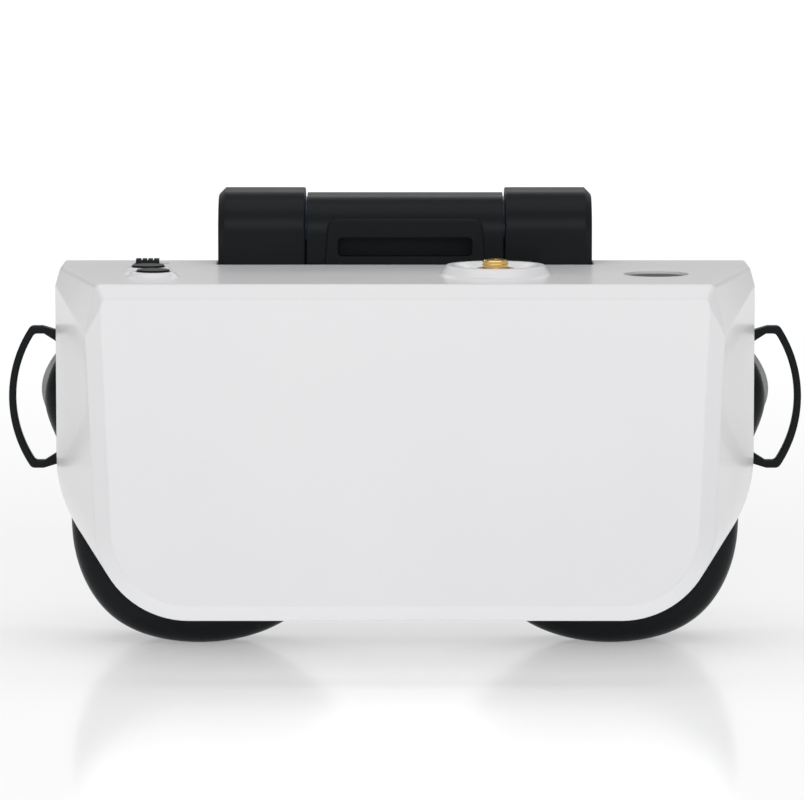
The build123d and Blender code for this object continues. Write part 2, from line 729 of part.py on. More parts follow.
def strap_loop(side):
    """A flat D-shaped loop with a knuckle at each end of its open side."""
    middle = (LOOP_LOW + LOOP_HIGH) / 2
    bar = 1.75
    shoulder = 95.0
    outer = make_face(
        Polyline((shoulder, LOOP_HIGH), (92.0, LOOP_HIGH), (HINGE_X, LOOP_HIGH - 1.9),
                 (HINGE_X, LOOP_LOW + 1.9), (92.0, LOOP_LOW), (shoulder, LOOP_LOW))
        + ThreePointArc((shoulder, LOOP_LOW), (LOOP_REACH, middle), (shoulder, LOOP_HIGH))
    )
    outer = fillet(outer.vertices().sort_by(Axis.X)[-2:], 1.6)
    inner_high = LOOP_HIGH - 2.0
    inner_low = LOOP_LOW + 2.0
    inner = make_face(
        Polyline((94.0, inner_high), (91.6, inner_high), (88.6, inner_high - 1.9),
                 (HINGE_X - 5, inner_high - 1.9), (HINGE_X - 5, inner_low + 1.9),
                 (88.6, inner_low + 1.9), (91.6, inner_low), (94.0, inner_low))
        + ThreePointArc((94.0, inner_low), (LOOP_REACH - bar, middle), (94.0, inner_high))
    )
    inner = fillet(inner.vertices().sort_by(Axis.X)[-2:], 1.2)
    loop = slab(outer - inner, HINGE_Y - LOOP_HALF_DEPTH, HINGE_Y + LOOP_HALF_DEPTH)
    long_edges = loop.edges().filter_by(lambda edge: edge.bounding_box().min.X > HINGE_X + 1)
    flat_edges = long_edges.filter_by(lambda edge: edge.bounding_box().size.Y < 0.01)
    loop = fillet(flat_edges, 0.5)
    hinge = (HINGE_X, HINGE_Y)
    for low in (LOOP_LOW + 0.6, LOOP_HIGH - 3.9):
        loop += rod("z", hinge, KNUCKLE_RADIUS, low, low + 3.3)
    loop -= rod("z", hinge, PIN_RADIUS + 0.06, LOOP_LOW - 1, LOOP_HIGH + 1)
    return loop if side > 0 else mirror(loop, Plane.YZ)


def loop_pin(side):
    """The steel pin that a strap loop turns on."""
    low, high = HINGE_BLOCK
    return rod("z", (side * HINGE_X, HINGE_Y), PIN_RADIUS, low + 0.2, high - 0.2)


# ---- battery case ----------------------------------------------------------------------------


def battery_profile(inset, high):
    """The case's cross-section, with its big round upper corners and small lower ones."""
    wide = BATTERY_REAR - BATTERY_FRONT - 2 * inset
    tall = high - BATTERY_LOW - 2 * inset
    middle = ((BATTERY_FRONT + BATTERY_REAR) / 2, (BATTERY_LOW + high) / 2)
    sketch = Pos(*middle) * Rectangle(wide, tall)
    sketch = fillet(sketch.vertices().sort_by(Axis.Y)[-2:], 10.5 - inset)
    return fillet(sketch.vertices().sort_by(Axis.Y)[:2], 2.4 - inset)


def along(sketch, start, end):
    """The case's cross-section made solid between two places along X."""
    return extrude(Plane.YZ.offset(start) * sketch, end - start)


def cell_space(start, end):
    """The round bore that the cell lies in."""
    return rod("x", (CELL_Y, CELL_Z), CELL_RADIUS + 0.2, start, end)


def battery_body():
    """The middle of the case, with the buckle and the blind slot for the top strap."""
    half = BATTERY_MIDDLE
    body = along(battery_profile(0.7, BATTERY_MIDDLE_HIGH + 0.7), -half, half)
    buckle = make_face(Polyline((-20.6, BATTERY_LOW + 0.9), (-19.4, 111.0), (19.4, 111.0),
                                (20.6, BATTERY_LOW + 0.9), close=True))
    buckle = fillet(buckle.vertices().sort_by(Axis.Y)[-2:], 2.6)
    raised = slab(buckle, BATTERY_FRONT, CELL_Y)
    raised = fillet(raised.faces().sort_by(Axis.Y)[0].edges().sort_by(Axis.Z)[1:], 0.5)
    body += raised
    mouth = rounded(17.0, 101.5, 106.4, 1.2)
    body -= slab(mouth, BATTERY_FRONT - 1, BATTERY_FRONT + 5.4)
    body -= cell_space(-half, half)
    for side in SIDES:
        inner, outer = sorted((side * (half - 3.7), side * half))
        body -= block(inner, outer, 6.4, 9.1, 97.9, 104.1)
    for x in DOCK_PINS_X:
        body -= block(x - 2, x + 2, DOCK_PINS_Y - 2, DOCK_PINS_Y + 2, BATTERY_LOW, BATTERY_LOW + 1.2)
    return body


def battery_end(side):
    """One end of the case: a cup over the cell's end, with a tongue that locates it."""
    near = BATTERY_MIDDLE + 0.5
    far = BATTERY_HALF_LENGTH
    cup = along(battery_profile(0, BATTERY_HIGH), near, far)
    cup = chamfer(cup.faces().sort_by(Axis.X)[-1].edges(), 1.6)
    cup = fillet(cup.faces().sort_by(Axis.X)[0].edges(), 0.5)
    cup -= cell_space(near - 1, 42.6)
    cup += block(BATTERY_MIDDLE - 3.2, near + 1.0, 6.6, 8.9, 98.1, 103.9)
    return cup if side > 0 else mirror(cup, Plane.YZ)


def battery_cell():
    """The round cell, with its raised button at the left and a groove by it."""
    half = CELL_HALF_LENGTH
    place = (CELL_Y, CELL_Z)
    cell = rod("x", place, CELL_RADIUS, -half + 1.2, half)
    cell += rod("x", place, 3.0, -half, -half + 1.2)
    groove = rod("x", place, CELL_RADIUS + 1, -half + 4.0, -half + 5.2)
    return cell - (groove - rod("x", place, CELL_RADIUS - 0.4, -half + 3.0, -half + 6.2))


def battery_contacts():
    """The contact plate at each end of the cell."""
    place = (CELL_Y, CELL_Z)
    left = rod("x", place, 6.0, -CELL_HALF_LENGTH - 0.5, -CELL_HALF_LENGTH)
    right = rod("x", place, 8.0, 40.4, 40.9)
    return [left, right]


def battery_spring():
    """The coiled spring that presses the cell towards the left contact."""
    wire = 0.4
    coil_radius = 5.0
    start = CELL_HALF_LENGTH + wire
    end = 40.4 - wire
    turns = 4
    path = Helix(pitch=(end - start) / turns, height=end - start, radius=coil_radius)
    section = Plane(origin=path @ 0, z_dir=path % 0) * Circle(wire)
    coil = sweep(section, path=path, is_frenet=True)
    return Pos(start, CELL_Y, CELL_Z) * Rot(0, 90, 0) * coil


def charge_board():
    """The round charge board behind the right contact."""
    return rod("x", (CELL_Y, CELL_Z), 8.8, 41.0, 42.4)


def battery_pads():
    """The two contact pads in the case's underside."""
    pads = []
    for x in DOCK_PINS_X:
        y = DOCK_PINS_Y
        pads.append(block(x - 1.9, x + 1.9, y - 1.9, y + 1.9, BATTERY_LOW, BATTERY_LOW + 1.2))
    return pads


def dock_pins():
    """The two sprung pins in the saddle that meet the battery's pads."""
    place_y = DOCK_PINS_Y
    return [rod("z", (x, place_y), 1.0, SADDLE_LOW, SADDLE_FLOOR + 0.1) for x in DOCK_PINS_X]


# ---- every piece -----------------------------------------------------------------------------

save("front_shell", front_shell())
save("rear_shell", rear_shell())
save("shell_screws", *shell_screws())
save("faceplate_frame", faceplate_frame())
save("face_cushion", face_cushion())
save("faceplate_screws", *faceplate_screws())
save("lens", lens())
save("lens_bezel", lens_bezel())
save("bezel_screws", *bezel_screws())
save("optic_tunnel", optic_tunnel())
save("display_frame", display_frame())
save("display_panel", display_panel())
save("main_board", main_board())
save("main_board_screws", *main_board_screws())
save("receiver_shield", shield_can(12.0, 44.0, 58.0, 82.0, 3.4))
save("recorder_shield", shield_can(-46.0, -22.0, 58.0, 80.0, 3.0))
save("patch_antenna", patch_antenna())
save("power_jack", power_jack())
save("av_jack", av_jack())
save("card_slot", card_slot())
save("memory_card", memory_card())
save("left_button_board", left_button_board())
save("right_button_board", right_button_board())
save("button_board_screws", *button_board_screws())
save("tactile_switches", *tactile_switches())
save("slide_switches", *slide_switches())
save("sma_jack", sma_jack())
save("sma_nut", sma_nut())
save("front_button", push_button(FRONT_BUTTON_AT, BUTTON_RADIUS, BUTTON_TOP, True))
save("middle_button", push_button(MIDDLE_BUTTON_AT, BUTTON_RADIUS, BUTTON_TOP, True))
save("power_button", push_button(POWER_BUTTON_AT, POWER_BUTTON_RADIUS, TOP - 0.6, False))
save("mode_slider", slider(MODE_SLIDER_AT, 2.9, 1.9, 1.2, 2.0))
save("small_slider", slider(SMALL_SLIDER_AT, 1.8, 1.3, 1.7, 1.6))
for side, name in ((-1, "left"), (1, "right")):
    save(f"{name}_strap_loop", strap_loop(side))
    save(f"{name}_loop_pin", loop_pin(side))
    save(f"{name}_battery_end", battery_end(side))
save("battery_body", battery_body())
save("battery_cell", battery_cell())
save("battery_contacts", *battery_contacts())
save("battery_spring", battery_spring())
save("charge_board", charge_board())
save("battery_pads", *battery_pads())
save("dock_pins", *dock_pins())
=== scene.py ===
import json
import math

import bmesh
import bpy
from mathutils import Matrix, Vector
from mathutils.bvhtree import BVHTree


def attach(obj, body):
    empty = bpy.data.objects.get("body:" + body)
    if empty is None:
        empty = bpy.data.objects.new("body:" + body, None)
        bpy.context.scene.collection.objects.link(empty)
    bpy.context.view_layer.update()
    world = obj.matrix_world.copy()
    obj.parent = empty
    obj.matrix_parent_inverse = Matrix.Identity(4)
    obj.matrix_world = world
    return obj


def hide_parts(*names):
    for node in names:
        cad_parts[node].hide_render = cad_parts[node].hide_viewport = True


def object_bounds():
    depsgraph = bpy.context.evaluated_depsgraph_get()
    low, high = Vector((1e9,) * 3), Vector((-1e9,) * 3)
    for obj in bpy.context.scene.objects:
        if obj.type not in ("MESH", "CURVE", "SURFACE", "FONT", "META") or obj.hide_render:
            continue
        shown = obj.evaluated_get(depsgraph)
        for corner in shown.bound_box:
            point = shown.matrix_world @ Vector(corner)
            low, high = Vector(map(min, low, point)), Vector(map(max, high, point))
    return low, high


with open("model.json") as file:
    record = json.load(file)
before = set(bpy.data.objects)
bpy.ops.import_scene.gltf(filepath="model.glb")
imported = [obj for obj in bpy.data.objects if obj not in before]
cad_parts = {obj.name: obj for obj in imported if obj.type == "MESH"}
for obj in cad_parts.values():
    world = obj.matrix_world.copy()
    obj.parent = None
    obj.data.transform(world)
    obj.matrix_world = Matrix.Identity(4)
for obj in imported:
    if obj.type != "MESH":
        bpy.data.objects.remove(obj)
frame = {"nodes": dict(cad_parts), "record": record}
cad_box = [list(corner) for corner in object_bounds()]

NODES = frame["nodes"]


# ---- camera, floor and light -----------------------------------------------------------------

AIM = Vector((-0.00077, 0, 0.0655))
CAMERA_DISTANCE = 1.4
CAMERA_RISE = math.radians(6.5)
LENS_MM = 248.0
SENSOR_MM = 36.0

WORLD_STRENGTH = 0.41
SUBJECT_MIDDLE = (0, 0, 0.06)
# each light's place, its width and height in metres, and its power in watts
LIGHTS = {
    "key_top": ((0, -0.15, 1.1), (1.3, 0.8), 3.9),
    "front_fill": ((0, -1.5, 0.75), (1.4, 0.6), 7.2),
    "back_rim": ((0, 0.9, 0.7), (1.2, 0.3), 1.8),
}

FLOOR_HALF = 8.0
FLOOR_WHITE = 0.96
FLOOR_ROUGHNESS = 0.14
GLOW_NEAR = 0.31
GLOW_FAR = 0.70
GLOW_START = 0.25
GLOW_END = 1.6


def look_at(thing, target):
    """Turns a camera or a light to face a point."""
    thing.rotation_euler = (target - thing.location).to_track_quat("-Z", "Y").to_euler()


def add_camera():
    data = bpy.data.cameras.new("camera")
    data.lens = LENS_MM
    data.sensor_width = SENSOR_MM
    data.clip_end = 50.0
    camera = bpy.data.objects.new("camera", data)
    away = Vector((0, -math.cos(CAMERA_RISE), math.sin(CAMERA_RISE)))
    camera.location = AIM + away * CAMERA_DISTANCE
    look_at(camera, AIM)
    bpy.context.scene.collection.objects.link(camera)
    bpy.context.scene.camera = camera


def area_light(name, place, size, power):
    """A soft rectangular light that faces the goggles."""
    data = bpy.data.lights.new(name, "AREA")
    data.shape = "RECTANGLE"
    data.size, data.size_y = size
    data.energy = power
    light = bpy.data.objects.new(name, data)
    light.location = place
    look_at(light, Vector(SUBJECT_MIDDLE))
    bpy.context.scene.collection.objects.link(light)


def add_studio():
    world = bpy.data.worlds.new("studio")
    world.use_nodes = True
    background = world.node_tree.nodes["Background"]
    background.inputs["Color"].default_value = (1.0, 1.0, 1.0, 1)
    background.inputs["Strength"].default_value = WORLD_STRENGTH
    bpy.context.scene.world = world
    bpy.context.scene.view_settings.view_transform = "Standard"

    for name, (place, size, power) in LIGHTS.items():
        area_light(name, place, size, power)


def add_floor():
    half = FLOOR_HALF
    mesh = bpy.data.meshes.new("floor")
    corners = [(-half, -half, 0), (half, -half, 0), (half, half, 0), (-half, half, 0)]
    mesh.from_pydata(corners, [], [(0, 1, 2, 3)])
    floor = bpy.data.objects.new("floor", mesh)
    bpy.context.scene.collection.objects.link(floor)
    material, shader, tree = new_material("floor_white")
    shader.inputs["Base Color"].default_value = (FLOOR_WHITE, FLOOR_WHITE, FLOOR_WHITE, 1)
    shader.inputs["Roughness"].default_value = FLOOR_ROUGHNESS
    shader.inputs["Emission Color"].default_value = (1, 1, 1, 1)
    away = distance_from_origin(tree)
    glow = spread(tree, away, GLOW_NEAR, GLOW_FAR, GLOW_START, GLOW_END)
    tree.links.new(glow, shader.inputs["Emission Strength"])
    floor.data.materials.append(material)


# ---- material building blocks ----------------------------------------------------------------


def new_material(name):
    """A node material: returns it, its shader and its tree."""
    material = bpy.data.materials.new(name)
    material.use_nodes = True
    tree = material.node_tree
    tree.nodes.clear()
    output = tree.nodes.new("ShaderNodeOutputMaterial")
    shader = tree.nodes.new("ShaderNodeBsdfPrincipled")
    tree.links.new(shader.outputs["BSDF"], output.inputs["Surface"])
    return material, shader, tree


def coordinates(tree, stretch=(1, 1, 1)):
    """The piece's own coordinates, stretched along each axis."""
    source = tree.nodes.new("ShaderNodeTexCoord")
    mapping = tree.nodes.new("ShaderNodeMapping")
    mapping.inputs["Scale"].default_value = stretch
    tree.links.new(source.outputs["Object"], mapping.inputs["Vector"])
    return mapping.outputs["Vector"]


def distance_from_origin(tree):
    """How far a point is from the piece's own origin."""
    source = tree.nodes.new("ShaderNodeTexCoord")
    length = tree.nodes.new("ShaderNodeVectorMath")
    length.operation = "LENGTH"
    tree.links.new(source.outputs["Object"], length.inputs[0])
    return length.outputs["Value"]


def noise(tree, vector, scale, detail=3.0, roughness=0.55):
    node = tree.nodes.new("ShaderNodeTexNoise")
    node.inputs["Scale"].default_value = scale
    node.inputs["Detail"].default_value = detail
    node.inputs["Roughness"].default_value = roughness
    tree.links.new(vector, node.inputs["Vector"])
    return node.outputs["Fac"]


def spread(tree, value, low, high, start=0.3, end=0.7):
    """Maps a pattern onto a range of values."""
    node = tree.nodes.new("ShaderNodeMapRange")
    node.inputs["From Min"].default_value = start
    node.inputs["From Max"].default_value = end
    node.inputs["To Min"].default_value = low
    node.inputs["To Max"].default_value = high
    tree.links.new(value, node.inputs["Value"])
    return node.outputs["Result"]


def two_tone(tree, value, first, second):
    """Mixes two colours by a pattern."""
    node = tree.nodes.new("ShaderNodeMix")
    node.data_type = "RGBA"
    node.inputs["A"].default_value = (*first, 1)
    node.inputs["B"].default_value = (*second, 1)
    tree.links.new(value, node.inputs["Factor"])
    return node.outputs["Result"]


def calc(tree, operation, first, second):
    """One sum on two values, each a pattern or a number."""
    node = tree.nodes.new("ShaderNodeMath")
    node.operation = operation
    for socket, value in zip(node.inputs, (first, second)):
        if isinstance(value, (int, float)):
            socket.default_value = value
        else:
            tree.links.new(value, socket)
    return node.outputs["Value"]


def relief(tree, shader, value, height, strength=1.0, under=None):
    """Raises the surface by a pattern, over another relief if one is given."""
    node = tree.nodes.new("ShaderNodeBump")
    node.inputs["Strength"].default_value = strength
    node.inputs["Distance"].default_value = height
    tree.links.new(value, node.inputs["Height"])
    if under is not None:
        tree.links.new(under, node.inputs["Normal"])
    tree.links.new(node.outputs["Normal"], shader.inputs["Normal"])


def soft_edges(tree, radius):
    """Rounds the shading of sharp edges by a small radius."""
    node = tree.nodes.new("ShaderNodeBevel")
    node.samples = 6
    node.inputs["Radius"].default_value = radius
    return node.outputs["Normal"]


# ---- materials -------------------------------------------------------------------------------


def moulded(name, colour, shade, roughness, grain, height, coat=0.0, specular=0.5, edge=0.00025):
    """Moulded plastic: slight colour drift, uneven gloss, moulding grain and eased edges."""
    material, shader, tree = new_material(name)
    vector = coordinates(tree)
    drift = noise(tree, vector, 14.0, 2.0)
    tone = two_tone(tree, spread(tree, drift, 0, 1), colour, shade)
    tree.links.new(tone, shader.inputs["Base Color"])
    smears = noise(tree, coordinates(tree, (1, 1, 2.4)), 60.0, 5.0, 0.62)
    gloss = spread(tree, smears, roughness * 0.95, roughness * 1.07)
    tree.links.new(gloss, shader.inputs["Roughness"])
    fine = noise(tree, vector, grain, 4.0, 0.6)
    relief(tree, shader, fine, height, 1.0, soft_edges(tree, edge))
    shader.inputs["Specular IOR Level"].default_value = specular
    shader.inputs["Coat Weight"].default_value = coat
    shader.inputs["Coat Roughness"].default_value = 0.06
    return material


def metal(name, colour, shade, roughness, stretch=(1, 1, 12)):
    """Plated metal with fine turning marks and patches of dulling."""
    material, shader, tree = new_material(name)
    marks = noise(tree, coordinates(tree, stretch), 900.0, 3.0)
    patches = noise(tree, coordinates(tree), 180.0, 4.0)
    tone = two_tone(tree, spread(tree, patches, 0, 1), colour, shade)
    tree.links.new(tone, shader.inputs["Base Color"])
    gloss = spread(tree, marks, roughness * 0.7, roughness * 1.3)
    tree.links.new(gloss, shader.inputs["Roughness"])
    shader.inputs["Metallic"].default_value = 1.0
    relief(tree, shader, marks, 0.00002, 0.6, soft_edges(tree, 0.00012))
    return material


def knit(name, colour, shade, pitch, height, roughness=0.9):
    """Brushed knitted fabric: rows of loops in two directions under a short nap."""
    material, shader, tree = new_material(name)
    source = tree.nodes.new("ShaderNodeTexCoord")
    split = tree.nodes.new("ShaderNodeSeparateXYZ")
    tree.links.new(source.outputs["Object"], split.inputs["Vector"])
    turns = 2 * math.pi / pitch
    across = calc(tree, "SINE", calc(tree, "MULTIPLY", split.outputs["X"], turns), 0)
    upward = calc(tree, "SINE", calc(tree, "MULTIPLY", split.outputs["Z"], turns * 0.8), 0)
    inward = calc(tree, "SINE", calc(tree, "MULTIPLY", split.outputs["Y"], turns * 0.9), 0)
    loops = calc(tree, "ADD", calc(tree, "MULTIPLY", across, upward), calc(tree, "MULTIPLY", inward, 0.6))
    nap = noise(tree, coordinates(tree), 1800.0, 4.0, 0.7)
    pile = calc(tree, "ADD", calc(tree, "MULTIPLY", loops, 0.3), nap)
    patches = noise(tree, coordinates(tree), 70.0, 4.0)
    tone_by = calc(tree, "ADD", calc(tree, "MULTIPLY", loops, 0.25), spread(tree, patches, 0.2, 0.8))
    tree.links.new(two_tone(tree, tone_by, colour, shade), shader.inputs["Base Color"])
    tree.links.new(spread(tree, nap, roughness - 0.08, roughness + 0.08), shader.inputs["Roughness"])
    shader.inputs["Sheen Weight"].default_value = 0.15
    shader.inputs["Sheen Roughness"].default_value = 0.4
    relief(tree, shader, pile, height)
    return material


def circuit(name):
    """Green laminate with copper tracks under its mask."""
    material, shader, tree = new_material(name)
    vector = coordinates(tree)
    cells = tree.nodes.new("ShaderNodeTexVoronoi")
    cells.distance = "MANHATTAN"
    cells.feature = "DISTANCE_TO_EDGE"
    cells.inputs["Scale"].default_value = 260.0
    tree.links.new(vector, cells.inputs["Vector"])
    track = spread(tree, cells.outputs["Distance"], 1, 0, 0.03, 0.07)
    drift = noise(tree, vector, 90.0)
    mask = two_tone(tree, spread(tree, drift, 0, 1), (0.012, 0.09, 0.035), (0.02, 0.13, 0.05))
    mixer = tree.nodes.new("ShaderNodeMix")
    mixer.data_type = "RGBA"
    mixer.inputs["B"].default_value = (0.06, 0.26, 0.09, 1)
    tree.links.new(mask, mixer.inputs["A"])
    tree.links.new(track, mixer.inputs["Factor"])
    tree.links.new(mixer.outputs["Result"], shader.inputs["Base Color"])
    tree.links.new(spread(tree, drift, 0.3, 0.45), shader.inputs["Roughness"])
    relief(tree, shader, track, 0.00003)
    return material


def clear_acrylic(name):
    """Polished clear plastic with a faint ripple and wiping marks."""
    material, shader, tree = new_material(name)
    vector = coordinates(tree)
    shader.inputs["Base Color"].default_value = (0.95, 0.97, 0.98, 1)
    shader.inputs["Transmission Weight"].default_value = 1.0
    shader.inputs["IOR"].default_value = 1.49
    wiping = noise(tree, coordinates(tree, (1, 1, 5)), 120.0, 4.0)
    tree.links.new(spread(tree, wiping, 0.01, 0.05), shader.inputs["Roughness"])
    ripple = noise(tree, vector, 30.0, 1.0)
    relief(tree, shader, ripple, 0.00002, 0.3)
    return material


def build_materials():
    """Every material by the record's slot name."""
    return {
        "white_shell": moulded("white_shell", (0.80, 0.80, 0.81), (0.78, 0.78, 0.795),
                               0.3, 900.0, 0.000004, coat=0.12, edge=0.0009),
        "black_plastic": moulded("black_plastic", (0.011, 0.012, 0.014), (0.016, 0.018, 0.020),
                                 0.48, 2600.0, 0.00003, specular=0.1),
        "black_satin": moulded("black_satin", (0.007, 0.009, 0.010), (0.010, 0.012, 0.014),
                               0.34, 2200.0, 0.000014, specular=0.1),
        "cushion_fabric": knit("cushion_fabric", (0.008, 0.008, 0.009), (0.018, 0.018, 0.020),
                               0.0013, 0.0003),
        "lens_acrylic": clear_acrylic("lens_acrylic"),
        "display_glass": moulded("display_glass", (0.006, 0.006, 0.008), (0.008, 0.009, 0.012),
                                 0.08, 400.0, 0.000002, coat=0.6),
        "circuit_board": circuit("circuit_board"),
        "shield_metal": metal("shield_metal", (0.62, 0.62, 0.60), (0.52, 0.52, 0.51), 0.32, (1, 1, 9)),
        "steel": metal("steel", (0.44, 0.44, 0.45), (0.36, 0.36, 0.37), 0.30),
        "gold_brass": metal("gold_brass", (0.83, 0.60, 0.24), (0.74, 0.50, 0.17), 0.22),
        "ceramic_tile": moulded("ceramic_tile", (0.72, 0.67, 0.57), (0.66, 0.61, 0.52),
                                0.6, 1500.0, 0.00003),
        "cell_wrap": moulded("cell_wrap", (0.03, 0.09, 0.28), (0.04, 0.11, 0.32), 0.3, 500.0, 0.00002),
    }


def dress_cad_nodes(materials):
    """Gives every CAD node the material of its slot."""
    for entry in frame["record"]["subparts"]:
        piece = NODES[entry["node"]]
        piece.data.materials.clear()
        piece.data.materials.append(materials[entry["material_slot"]])


# ---- mesh building blocks --------------------------------------------------------------------


def add_piece(name, mesh, material, body):
    """Links a new mesh as a piece that rides on a body."""
    piece = bpy.data.objects.new(name, mesh)
    bpy.context.scene.collection.objects.link(piece)
    piece.data.materials.clear()
    piece.data.materials.append(material)
    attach(piece, body)
    return piece


def smooth(mesh):
    """Shades a mesh as one smooth surface."""
    for polygon in mesh.polygons:
        polygon.use_smooth = True


def sweep(points, normals, profile, closed=True):
    """A mesh made by carrying a cross-section along points, kept above the floor. The section's
    first axis is the normal at each point and its second is square to that and to the path."""
    count = len(points)
    vertices = []
    for index, point in enumerate(points):
        ahead = points[(index + 1) % count] if closed or index + 1 < count else point
        behind = points[index - 1] if closed or index else point
        tangent = (ahead - behind).normalized()
        normal = normals[index]
        sideways = tangent.cross(normal).normalized()
        vertices += [point + normal * a + sideways * b for a, b in profile]
    sides = len(profile)
    faces = []
    for index in range(count if closed else count - 1):
        here = index * sides
        there = ((index + 1) % count) * sides
        for side in range(sides):
            beyond = (side + 1) % sides
            faces.append((here + side, here + beyond, there + beyond, there + side))
    if not closed:
        faces.append(tuple(range(sides)))
        faces.append(tuple(reversed(range(len(vertices) - sides, len(vertices)))))
    mesh = bpy.data.meshes.new("swept")
    mesh.from_pydata(vertices, [], faces)
    clean = bmesh.new()
    clean.from_mesh(mesh)
    bmesh.ops.recalc_face_normals(clean, faces=clean.faces)
    for vertex in clean.verts:
        vertex.co.z = max(vertex.co.z, 0.0)
    clean.to_mesh(mesh)
    clean.free()
    return mesh


def ring(radius, sides):
    """A round cross-section."""
    turns = [2 * math.pi * side / sides for side in range(sides)]
    return [(radius * math.cos(turn), radius * math.sin(turn)) for turn in turns]


def evaluated_mesh(thing):
    """The mesh of an object with its modifiers applied."""
    graph = bpy.context.evaluated_depsgraph_get()
    return bpy.data.meshes.new_from_object(thing.evaluated_get(graph))


# ---- face cushion ----------------------------------------------------------------------------

FACE_AXIS_Y = 0.284
FACE_RADIUS = 0.260
CUSHION_THICKNESS = 0.0099
# size of the cover's cells, how far inside the foam it starts, and the farthest it may move
CUSHION_CELL = 0.0019
CUSHION_START = 0.0008
CUSHION_SWELL = 0.0022
# depth of the margin that is held against the flange
CUSHION_HELD = 0.0012
CUSHION_ROUNDING = 5
CUSHION_PRESSURE = 4.0
CUSHION_FRAMES = 20

LOOP_POINTS = 420
BACKING_THICKNESS = 0.0012
BACKING_MARGIN = 0.0002
BACKING_REACH = 0.0036
PIPING_RADIUS = 0.0008
PIPING_INSET = 0.0013
PIPING_LIFT = 0.0003
STITCHES = 168
STITCH_INSET = 0.0036
STITCH_RADIUS = 0.00028
# places along a stitch, from its middle, and how far each stands above the cover
STITCH_PLACES = {-0.0012: -0.00025, -0.0007: 0.00012, 0.0: 0.00012, 0.0007: 0.00012, 0.0012: -0.00025}


def from_face_axis(point):
    """How far a point stands from the upright axis that the face curves round."""
    return math.hypot(point.x, point.y - FACE_AXIS_Y)


def outwards(point):
    """The level direction from the face's axis through a point."""
    return Vector((point.x, point.y - FACE_AXIS_Y, 0)).normalized()


def node_form(node):
    """A CAD node's mesh with its shared corners joined."""
    form = bmesh.new()
    form.from_mesh(NODES[node].data)
    form.transform(NODES[node].matrix_world)
    bmesh.ops.remove_doubles(form, verts=form.verts, dist=0.000002)
    return form


def longest_edge_loop(node, radius):
    """The outer edge of the face that lies on one cylinder round the face's axis."""
    form = node_form(node)

    def on_cylinder(face):
        return all(abs(from_face_axis(vertex.co) - radius) < 0.0002 for vertex in face.verts)

    links = {}
    for edge in form.edges:
        if len(edge.link_faces) != 2:
            continue
        if on_cylinder(edge.link_faces[0]) == on_cylinder(edge.link_faces[1]):
            continue
        first, second = (vertex.index for vertex in edge.verts)
        links.setdefault(first, []).append(second)
        links.setdefault(second, []).append(first)
    places = {vertex.index: vertex.co.copy() for vertex in form.verts}
    form.free()
    loops = []
    unused = set(links)
    while unused:
        start = min(unused)
        chain = [start]
        unused.discard(start)
        while True:
            onward = [index for index in links[chain[-1]] if index in unused]
            if not onward:
                break
            chain.append(onward[0])
            unused.discard(onward[0])
        loops.append([places[index] for index in chain])
    return max(loops, key=loop_length)


def loop_length(loop):
    """The length once round a closed loop."""
    return sum((point - loop[index - 1]).length for index, point in enumerate(loop))


def evenly(loop, count):
    """Points at equal steps round a closed loop."""
    step = loop_length(loop) / count
    points = []
    travelled = 0.0
    for index, start in enumerate(loop):
        end = loop[(index + 1) % len(loop)]
        length = (end - start).length
        while len(points) < count and len(points) * step <= travelled + length:
            share = (len(points) * step - travelled) / length if length else 0.0
            points.append(start.lerp(end, share))
        travelled += length
    return points


def eased(loop, rounds=3):
    """A closed loop with its small kinks smoothed away."""
    for _ in range(rounds):
        loop = [(loop[index - 1] + point * 2 + loop[(index + 1) % len(loop)]) / 4
                for index, point in enumerate(loop)]
    return loop


def puffed(form):
    """Blows the cushion's cover up from slightly inside its foam, and returns its points."""
    held = form.vertex_groups.new(name="held")
    for vertex in form.data.vertices:
        if FACE_RADIUS - from_face_axis(vertex.co) < CUSHION_HELD:
            held.add([vertex.index], 1.0, "REPLACE")
    cloth = form.modifiers.new("cover", "CLOTH")
    cloth.settings.vertex_group_mass = "held"
    cloth.settings.use_pressure = True
    cloth.settings.uniform_pressure_force = CUSHION_PRESSURE
    cloth.settings.effector_weights.gravity = 0.0
    cloth.settings.quality = 6
    cloth.settings.tension_stiffness = 18.0
    cloth.settings.compression_stiffness = 18.0
    cloth.settings.bending_stiffness = 0.6
    cloth.collision_settings.use_collision = False
    cloth.point_cache.frame_start = 1
    cloth.point_cache.frame_end = CUSHION_FRAMES
    for frame_number in range(1, CUSHION_FRAMES + 1):
        bpy.context.scene.frame_set(frame_number)
    cover = evaluated_mesh(form)
    points = [vertex.co.copy() for vertex in cover.vertices]
    form.modifiers.remove(cloth)
    form.vertex_groups.clear()
    bpy.context.scene.frame_set(1)
    return points


